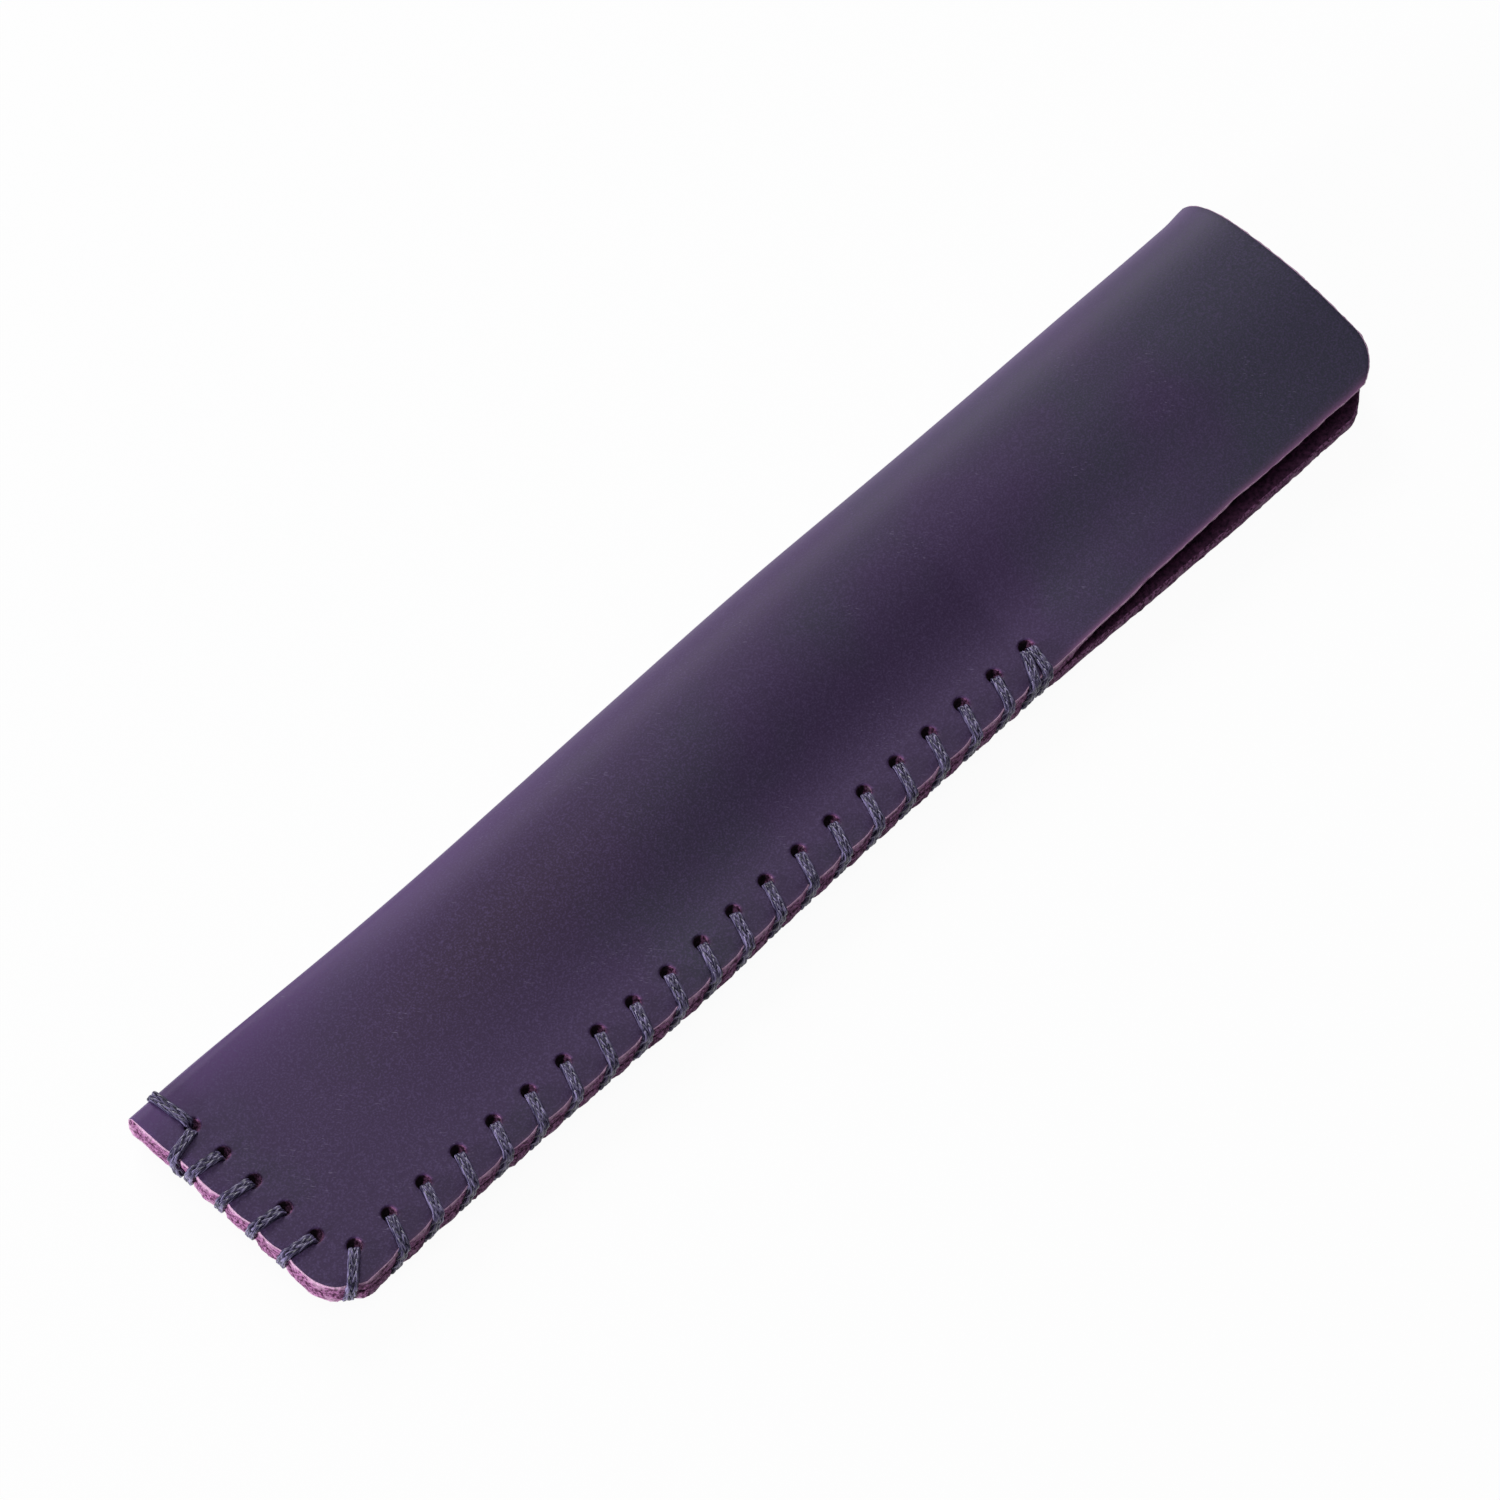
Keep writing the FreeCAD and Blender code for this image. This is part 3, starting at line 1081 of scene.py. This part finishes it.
        x, edge = centres.T
        middle = np.stack([np.tile(x, 2), np.append(edge, self.form.span_at(x) - edge)])[:, :, None]
        angle = np.radians(-135.0 + 360.0 / (4 * n) * np.arange(4 * n))
        around = np.stack([np.cos(angle), np.sin(angle)])
        circle = middle + np.tile(self.rows.radii, 2)[:, None] * around[:, None, :]
        square = np.stack([grid.x.ravel()[block], grid.s.ravel()[block]])
        share, bare, lift, press = np.array(self.rings).T[:, :, None]
        top = square[:, :, None, :] * (1 - share) + circle[:, :, None, :] * share
        lean = np.array(self.punch_lean)
        slant = self.punch_slant * lean[:, None, None, None] * share
        funnel = 1 - (1 - self.funnel_share) * share
        low = middle[..., None] + (top - middle[..., None]) * funnel - slant

        to_front, to_back = (unit(self.turn_places(share)[0][:-1] - centres) for share in (0.0, 1.0))
        facing = np.concatenate([to_front, to_back * np.array([1.0, -1.0])]) @ around
        clean = np.where(np.arange(len(centres)) < self.rows.end_holes, self.clean_punch, 1.0)
        # Paler side of each hole, towards the punch's lean: partly torn fibre, partly painted light where the lamps
        # reach.
        torn_and_lit = ease(lean @ around, 0.0, self.torn_and_lit_full) * np.tile(clean, 2)[:, None]
        bare = bare * (self.whole_bare + (1 - self.whole_bare) * torn_and_lit[:, None, :])
        lift = lift - press * np.clip(facing, 0.0, 1.0)[:, None, :]
        return PunchedHoles(kept, block, top, low, lift, bare, torn_and_lit)

    def sides(self, grid: FlatGrid, holes: PunchedHoles) -> tuple[Reals, Reals, dict[str, Reals]]:
        """Points of the grain side and of the flesh side, half the leather over and under the middle surface.

        The flesh side is skived at the front lip and follows the funnels of the holes.

        Args:
            grid: The flat sheet.
            holes: The rings of its holes.

        Returns:
            The grain's points, the flesh's points, and what the grain's finish reads.
        """
        form, half = self.form, self.form.leather / 2
        skived = self.skive * form.past_seam(grid.x, *self.skive_run) * np.exp(-grid.edge / self.skive_reach)
        under_s = grid.s + np.where(grid.back, 0.0, skived)
        x, s = (np.append(a, b) for a, b in zip((grid.x, grid.s), holes.top))
        low_x, low_s = (np.append(a, b) for a, b in zip((grid.x, under_s), holes.low))
        bent = self.bulge(x, s)
        lift = np.append(-self.dent * grid.pulled, holes.lift)
        outer = form.place(x, s, half + bent + lift, form.seam_height / 2)
        outer[:, 2] = np.maximum(outer[:, 2], -form.table_press)
        under = form.place(low_x, low_s, -half + bent - np.maximum(lift, 0.0))

        # Pale rim of the grain at its cut edges: worn bare along the seam, and a painted highlight along the lip past
        # the seam.
        bare = self.edge_rim_bare_and_lit[0] + self.edge_rim_bare_and_lit[1] * form.past_seam(grid.x, *self.lip_rim_highlight_run)
        reach = self.rim_reach[0] + self.rim_reach[1] * form.near_mouth(grid.x, *self.rim_reach_run)
        # The fold's pale band, stronger towards the closed end and the mouth: partly pull-up paling where bent,
        # partly a painted highlight.
        least, at_end, at_mouth = self.scuff_and_fold_light
        to_fold = np.abs(s - form.span_at(x) / 2)
        bends = least + at_end * (1 - ease(x, *self.fold_light_end_run)) + at_mouth * ease(x, *self.fold_light_mouth_run)
        looks = {
            "rub": bends * np.exp(-np.maximum(to_fold - self.fold_light_flat, 0.0) / self.fold_light_reach),
            # Darker patch in the middle of the panel, about 42 mm from the closed end and 12 mm from the fold.
            "deep": bell(x, *self.dark_patch_along) * bell(to_fold, *self.dark_patch_across),
            "rim": np.append(bare * np.exp(-grid.inset / reach), holes.bare),
        }
        return outer, under, looks

    def cut_rows(self, outer: Reals, under: Reals) -> Reals:
        """Rows of the cut edge between the grain's outline and the flesh's.

        A row stands at sin(a)^q of half the thickness and at cos(a)^q of the bulge, for a from +90 to -90 degrees and
        q of a half: a rectangle with soft corners, which seeded noise makes rough.

        Args:
            outer: Outline of the grain side, in order round the sheet.
            under: The same outline on the flesh side.

        Returns:
            The rows between the two outlines.
        """
        middle, half = (outer + under) / 2, (outer - under) / 2
        tangent = np.roll(middle, -1, axis=0) - np.roll(middle, 1, axis=0)
        out = unit(np.cross(tangent, half))
        turn = np.linspace(math.pi / 2, -math.pi / 2, self.edge_rows + 1)[1:-1][:, None, None]
        rise = np.sign(np.sin(turn)) * np.sqrt(np.abs(np.sin(turn)))
        stand = self.edge_bulge * np.sqrt(np.cos(turn))
        rng = np.random.default_rng(self.seed)
        rough = rng.normal(0.0, self.edge_noise, (self.edge_rows - 1, len(outer), 1))
        return middle + half * rise + out * (stand + rough)

    def build(self) -> Piece:
        """Make the closed sheet: grain side, flesh side, cut edge and the walls of the holes.

        Both sides share one set of faces. The cut joins their outlines, and a tube with seeded noise the two rims of
        each hole.

        Returns:
            The sheet's object.
        """
        grid = self.lay_out()
        holes = self.punch(grid)
        outer, under, looks = self.sides(grid, holes)
        numbers, count = grid.numbers, len(outer)
        cells = np.stack([numbers[:-1, :-1], numbers[1:, :-1], numbers[1:, 1:], numbers[:-1, 1:]], axis=-1)
        rings = numbers.size + np.arange(holes.lift.size).reshape(holes.lift.shape)
        circles = np.concatenate([holes.block[:, None, :], rings], axis=1)
        side_quads = np.concatenate([cells[holes.kept], joined(circles[:, :-1], circles[:, 1:])])

        loop = np.concatenate([numbers[:-1, 0], numbers[-1, :-1], numbers[:0:-1, -1], numbers[0, :0:-1]])
        walls = self.cut_rows(outer[loop], under[loop])
        wall_numbers = 2 * count + np.arange(walls[..., 0].size).reshape(walls.shape[:-1])
        wall_rows = np.concatenate([loop[None], wall_numbers, loop[None] + count])
        edge_quads = joined(wall_rows[1:], wall_rows[:-1])

        rim = rings[:, -1, :]
        share = np.linspace(0.0, 1.0, self.wall_rows + 1)[1:-1][:, None, None]
        tubes = outer[rim] * (1 - share[..., None]) + under[rim] * share[..., None]
        tubes = tubes + np.random.default_rng(self.seed).normal(0.0, self.wall_noise, tubes.shape)
        tube_numbers = 2 * count + wall_numbers.size + np.arange(tubes[..., 0].size).reshape(tubes.shape[:-1])
        tube_rows = np.concatenate([rim[None], tube_numbers, rim[None] + count])
        tube_quads = joined(tube_rows[:-1], tube_rows[1:])

        points = np.concatenate([outer, under, walls.reshape(-1, 3), tubes.reshape(-1, 3)])
        stacks = [side_quads, side_quads[:, ::-1] + count, edge_quads, tube_quads]
        zones = np.repeat([Zone.GRAIN, Zone.FLESH, Zone.CUT, Zone.CUT], [len(stack) for stack in stacks])
        down = np.broadcast_to(np.linspace(0.0, 1.0, len(walls) + 2)[1:-1, None], wall_numbers.shape)
        # The side towards the punch's lean starts shallower, so it gets less painted shade: painted light on the lit
        # wall.
        mouth = self.rim_depth - self.torn_and_lit_depth * holes.torn_and_lit
        # Depth past 1 on the holes' walls and feet gives painted shade that deepens going down.
        top_depth, low_depth = np.zeros(count), np.ones(count)
        top_depth[rim], low_depth[rim] = mouth, self.foot_depth
        tube_depth = mouth + self.wall_depth * share
        looks["depth"] = np.concatenate([top_depth, low_depth, down.ravel(), tube_depth.ravel()])

        used, quads = np.unique(np.concatenate(stacks), return_inverse=True)
        placed = self.form.bowed(points[used])
        self.piece = make_piece("folded_leather_sheet", placed, quads.reshape(-1, 4), self.origin)
        self.piece.data.polygons.foreach_set("material_index", zones.astype(np.int32))
        for name, values in looks.items():
            add_values(self.piece, name, np.pad(values, (0, len(points) - len(values)))[used])
        return self.piece

    def dress(self) -> None:
        """Give the sheet its three finishes and tie it to the frame."""
        for finish in (GrainLeather(), CutLeather(), FleshLeather()):
            self.piece.data.materials.append(finish.material())
        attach(self.piece, "root")
        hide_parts("folded_leather")
        log.info("%s: %d faces", self.piece.name, len(self.piece.data.polygons))


@dataclass
class WhipStitch:
    """One flat braided thread through all the holes and over the edge, from the fold to the last hole."""

    form: SheetForm
    rows: StitchRows
    origin: Reals
    width: float = 1.25
    thickness: float = 0.5
    strands: int = 9
    strand_sides: int = 6
    strand_width: float = 0.4
    strand_thickness: float = 0.24
    strand_end: float = 0.2
    braid_period: float = 12.0
    streak_apart: float = 3.0
    streak_squeeze: float = 0.07
    edge_reach: float = 0.08
    back_reach: float = -0.25
    bed: float = 0.22
    back_bed: float = 0.2
    edge_bed: float = -0.2
    skew_slack: float = 0.15
    hole_shift: float = 0.3
    pass_split: float = 0.9
    fold_lean: float = 0.6
    last_split: float = 0.7
    softness: float = 0.55
    edge_fullness: float = 0.8
    step: float = 0.12
    corners_each: int = 4
    lower_stitches: int = 10
    pieces: list[Piece] = field(init=False, default_factory=list)

    def corners(self) -> Reals:
        """Corners of the thread's middle line.

        Each stitch has four: on the back at the edge, on the front at the edge, at the top of its hole and at the
        bottom of it. The first hole takes an end that comes over the fold, and the last hole two stitches.

        Returns:
            One point per corner, in the order of the thread.
        """
        rows = self.rows
        top = self.form.seam_top + self.bed
        bottom = self.form.seam_lift - self.back_bed
        middle = (top + bottom) / 2
        holes = rows.centres
        land = rows.landings
        holes = np.concatenate([holes, holes[-1:]])
        reach = np.full(len(land), self.edge_reach)
        reach[0] += self.skew_slack

        first = holes[0] + np.array([0.0, self.pass_split / 2])
        holes[0] -= np.array([0.0, self.pass_split / 2])
        holes[-1] += np.array([self.last_split / 2, 0.0])
        holes[-2] -= np.array([self.last_split / 2, 0.0])
        tuck = reach + self.back_reach - self.edge_reach
        back = rows.edge_place(land - rows.turns, self.form.seam_lift - self.edge_bed, tuck)
        front = rows.edge_place(land, top, reach)
        holes = holes + self.hole_shift * unit(front[:, :2] - holes)
        up = np.column_stack([holes, np.full(len(holes), top)])
        down = np.column_stack([holes, np.full(len(holes), bottom)])
        stitches = np.stack([back, front, up, down], axis=1).reshape(-1, 3)
        stitches[-1, 2] = middle
        fold = rows.width + self.edge_reach
        start = [[*first, middle], [*first, top], [first[0] - self.fold_lean, fold, top], [first[0], fold, bottom]]
        return np.concatenate([np.array(start), stitches])

    def path(self) -> tuple[Reals, Reals, Reals, Reals, Reals]:
        """Middle line of the pulled thread, with the directions along and across it.

        The line through the corners is divided evenly and averaged with a bell of the thread's softness, which rounds
        each corner. Across, the flat side follows each corner's own axis, or the leather's edge where it goes over
        it, and turns evenly between corners. The thread is flat on the leather and fuller over the edge.

        Returns:
            Points, unit directions along, unit directions across, fullness, and the length at each corner.
        """
        corners = self.form.bowed(self.corners())
        runs = np.diff(corners, axis=0)
        at = np.concatenate([[0.0], np.cumsum(np.linalg.norm(runs, axis=1))])
        even = np.linspace(0.0, at[-1], round(at[-1] / self.step) + 1)
        reach = math.ceil(3 * self.softness / self.step)
        weight = np.exp(-0.5 * (np.arange(-reach, reach + 1) * self.step / self.softness) ** 2)
        padded = np.pad(between_rows(even, at, corners), ((reach, reach), (0, 0)), mode="edge")
        line = np.stack([np.convolve(column, weight / weight.sum(), mode="valid") for column in padded.T], axis=-1)

        axes = unit(np.cross(runs[:-1], runs[1:]))
        land, each = self.rows.landings, self.corners_each
        tangent = unit(self.rows.edge_place(land + 0.5, 0.0, 0.0) - self.rows.edge_place(land - 0.5, 0.0, 0.0))
        for first in (each - 1, each):
            axes[first::each][: len(land)] = tangent
        turns = np.sign((axes[:-1] * axes[1:]).sum(axis=1))
        axes[1:] *= np.cumprod(np.where(turns == 0, 1.0, turns))[:, None]
        across = between_rows(even, at[1:-1], axes)
        forward = unit(np.gradient(line, axis=0))
        across = unit(across - forward * (across * forward).sum(axis=1, keepdims=True))
        corner = np.arange(len(at))
        at_edge = np.isin(corner % each, (0, 1)) & (corner >= each)
        full = 1 + self.edge_fullness * np.interp(even, at, at_edge.astype(float))
        return line, forward, across, full, at

    def braid(self, name: str, start: int, stop: int, path: tuple[Reals, ...]) -> Piece:
        """Make the strands of one stretch of the thread.

        A strand swings across the thread as a sine and goes over two neighbours and under two as a sine of four times
        that angle, so at a crossing one strand is up and the other down. Each strand is a flattened tube, closed at
        both ends.

        Args:
            name: Name of the piece.
            start: First point of the stretch on the path.
            stop: Point after the last.
            path: What path() gives.

        Returns:
            The stretch's object.
        """
        line, forward, across, full = (values[start:stop] for values in path[:4])
        up = np.cross(forward, across)
        lay = self.step * np.arange(start, stop)
        flat, thick = self.strand_width / 2, self.strand_thickness / 2
        swing = self.width / 2 - flat
        hop = self.thickness / 2 - thick
        strand = np.arange(self.strands)[:, None]
        phase = 2 * math.pi * (lay[None, :] / self.braid_period + strand / self.strands)
        aside = across * (swing * np.sin(phase))[..., None]
        over = up * (hop * full * np.sin((self.strands - 1) / 2 * phase))[..., None]
        angle = 2 * math.pi * np.arange(self.strand_sides) / self.strand_sides
        taper = np.ones(len(lay))
        taper[[0, -1]] = self.strand_end
        rise = up * (thick * full)[:, None]
        ring = across[:, None, :] * flat * np.cos(angle)[:, None] + rise[:, None, :] * np.sin(angle)[:, None]
        points = (line + aside + over)[:, :, None, :] + taper[:, None, None] * ring
        numbers = np.arange(points[..., 0].size).reshape(points.shape[:-1])
        near, far = numbers[:, 0, ::-1], numbers[:, -1]
        halves = ([0, 1, 2, 3], [0, 3, 4, 5])
        caps = [end[:, half] for end in (near, far) for half in halves]
        quads = np.concatenate([joined(numbers[:, :-1], numbers[:, 1:]), *caps])
        piece = make_piece(name, points.reshape(-1, 3), quads, self.origin)
        streak = np.broadcast_arrays(
            flat * np.cos(angle) + self.streak_apart * strand[:, :, None],
            thick * np.sin(angle),
            self.streak_squeeze * lay[None, :, None],
        )
        add_values(piece, "fibre", np.stack(streak, axis=-1).reshape(-1, 3))
        return piece

    def build(self) -> list[Piece]:
        """Make the thread in stretches that part inside holes, out of sight.

        Returns:
            The stretches' objects.
        """
        path = self.path()
        parted = self.rows.end_holes + np.array([0, self.lower_stitches])
        hole_tops = self.corners_each * (parted + 1) + 2
        cuts = ((path[4][hole_tops] + path[4][hole_tops + 1]) / 2 / self.step).round().astype(int)
        bounds = [0, *cuts.tolist(), len(path[0])]
        names = ("thread_closed_end", "thread_side_lower", "thread_side_upper")
        self.pieces = [self.braid(n, a, b, path) for n, a, b in zip(names, bounds, bounds[1:])]
        return self.pieces

    def dress(self) -> None:
        """Give the stretches their finish and tie them to the frame."""
        finish = WaxedBraid().material()
        for piece in self.pieces:
            piece.data.materials.append(finish)
            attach(piece, "root")
            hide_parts("whip_stitch_thread")
            log.info("%s: %d faces", piece.name, len(piece.data.polygons))


@dataclass
class Studio:
    """Pale floor, soft light from the fold's side, and the photograph's camera.

    A lamp has its name, its place and its side in metres, its watts, and whether the leather mirrors it.
    """

    closed_end: float
    look_at: Triple = (77.532, 1.506, 1.1)
    azimuth: float = -45.742
    elevation: float = 59.292
    distance: float = 0.85003
    lens: float = 192.0
    sensor: float = 36.0
    floor_side: float = 6.0
    floor_drop: float = 0.1
    floor_glow: float = 0.95
    paper: str = "#f4f4f6"
    white: str = "#ffffff"
    sky: str = "#f3f1fa"
    ambient: float = 0.1
    lamps: tuple[tuple[str, Triple, float, float, bool], ...] = (
        ("soft_box_fold_side", (0.45, 0.95, 0.6), 0.5, 8.9, True),
        ("soft_box_closed_end", (-1.18, 0.16, 0.1), 0.3, 24.0, False),
        ("soft_box_overhead", (0.0, 0.0, 0.75), 0.5, 1.75, True),
    )

    @property
    def target(self) -> Vector:
        """Place near the sleeve's middle, in metres, that the camera and the lamps face."""
        x, y, z = self.look_at
        return Vector((x * MM + self.closed_end, y * MM, z * MM))

    def build_floor(self) -> None:
        """Lay the floor: white to the camera, with a share of its own shading so that it keeps a soft shadow."""
        half = self.floor_side / 2 / MM
        corners = half * np.array([[-1.0, -1.0, 0.0], [1.0, -1.0, 0.0], [1.0, 1.0, 0.0], [-1.0, 1.0, 0.0]])
        floor = make_piece("floor", corners, np.array([[0, 1, 2, 3]]), np.array([0.0, 0.0, self.floor_drop]))
        material = bpy.data.materials.new("white_paper_floor")
        add = new_tree(material)
        shown: Any = 0.0
        for ray in ("Is Camera Ray", "Is Glossy Ray", "Is Transmission Ray"):
            seen = add("LightPath", output=ray)
            shown = add("Math", (shown, seen), operation="MAXIMUM")
        share = add("Math", (shown, self.floor_glow), operation="MULTIPLY")
        paper = add("BsdfDiffuse", {"Color": linear(self.paper)})
        glow = add("Emission", {"Color": linear(self.white), "Strength": 1.0})
        add("OutputMaterial", {"Surface": add("MixShader", (share, paper, glow))})
        floor.data.materials.append(material)

    def build_world(self) -> None:
        """Set an even ambient light, white where the camera looks past the floor."""
        world = bpy.data.worlds.new("studio")
        add = new_tree(world)
        seen = add("LightPath", output="Is Camera Ray")
        soft = add("Background", {"Color": linear(self.sky), "Strength": self.ambient})
        white = add("Background", {"Color": linear(self.white), "Strength": 1.0})
        add("OutputWorld", {"Surface": add("MixShader", (seen, soft, white))})
        bpy.context.scene.world = world

    def hang_lamps(self) -> None:
        """Hang the square soft boxes, which face the sleeve."""
        for name, place, side, watts, mirrored in self.lamps:
            light = bpy.data.lights.new(name, "AREA")
            light.size = side
            light.energy = watts
            lamp = bpy.data.objects.new(name, light)
            lamp.location = place
            lamp.visible_glossy = mirrored
            lamp.rotation_euler = (self.target - Vector(place)).to_track_quat("-Z", "Y").to_euler()
            bpy.context.scene.collection.objects.link(lamp)

    def build_camera(self) -> None:
        """Stand the camera where the photograph's was, by its azimuth, elevation and distance from the target."""
        a, e = math.radians(self.azimuth), math.radians(self.elevation)
        back = Vector((math.sin(a) * math.cos(e), -math.cos(a) * math.cos(e), math.sin(e)))
        right = Vector((math.cos(a), math.sin(a), 0.0))
        camera = bpy.data.objects.new("camera", bpy.data.cameras.new("camera"))
        camera.data.lens = self.lens
        camera.data.sensor_width = self.sensor
        turn = Matrix((right, back.cross(right), back)).transposed().to_4x4()
        camera.matrix_world = Matrix.Translation(self.target + back * self.distance) @ turn
        bpy.context.scene.collection.objects.link(camera)
        bpy.context.scene.camera = camera

    def build(self) -> None:
        """Set up the floor, the world, the lamps and the camera."""
        self.build_floor()
        self.build_world()
        self.hang_lamps()
        self.build_camera()
        bpy.context.scene.view_settings.view_transform = "Standard"


def main() -> None:
    """Build the sleeve's pieces and the studio."""
    logging.basicConfig(level=logging.INFO, format="%(name)s %(message)s")
    low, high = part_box("folded_leather")
    origin = np.array([-low.x, -low.y, 0.0]) / MM
    form = SheetForm(length=(high.x - low.x) / MM)
    rows = StitchRows(width=form.width)
    for part in (FoldedLeather(form, rows, origin), WhipStitch(form, rows, origin)):
        part.build()
        part.dress()
    Studio(closed_end=low.x).build()


if __name__ == "__main__":
    main()
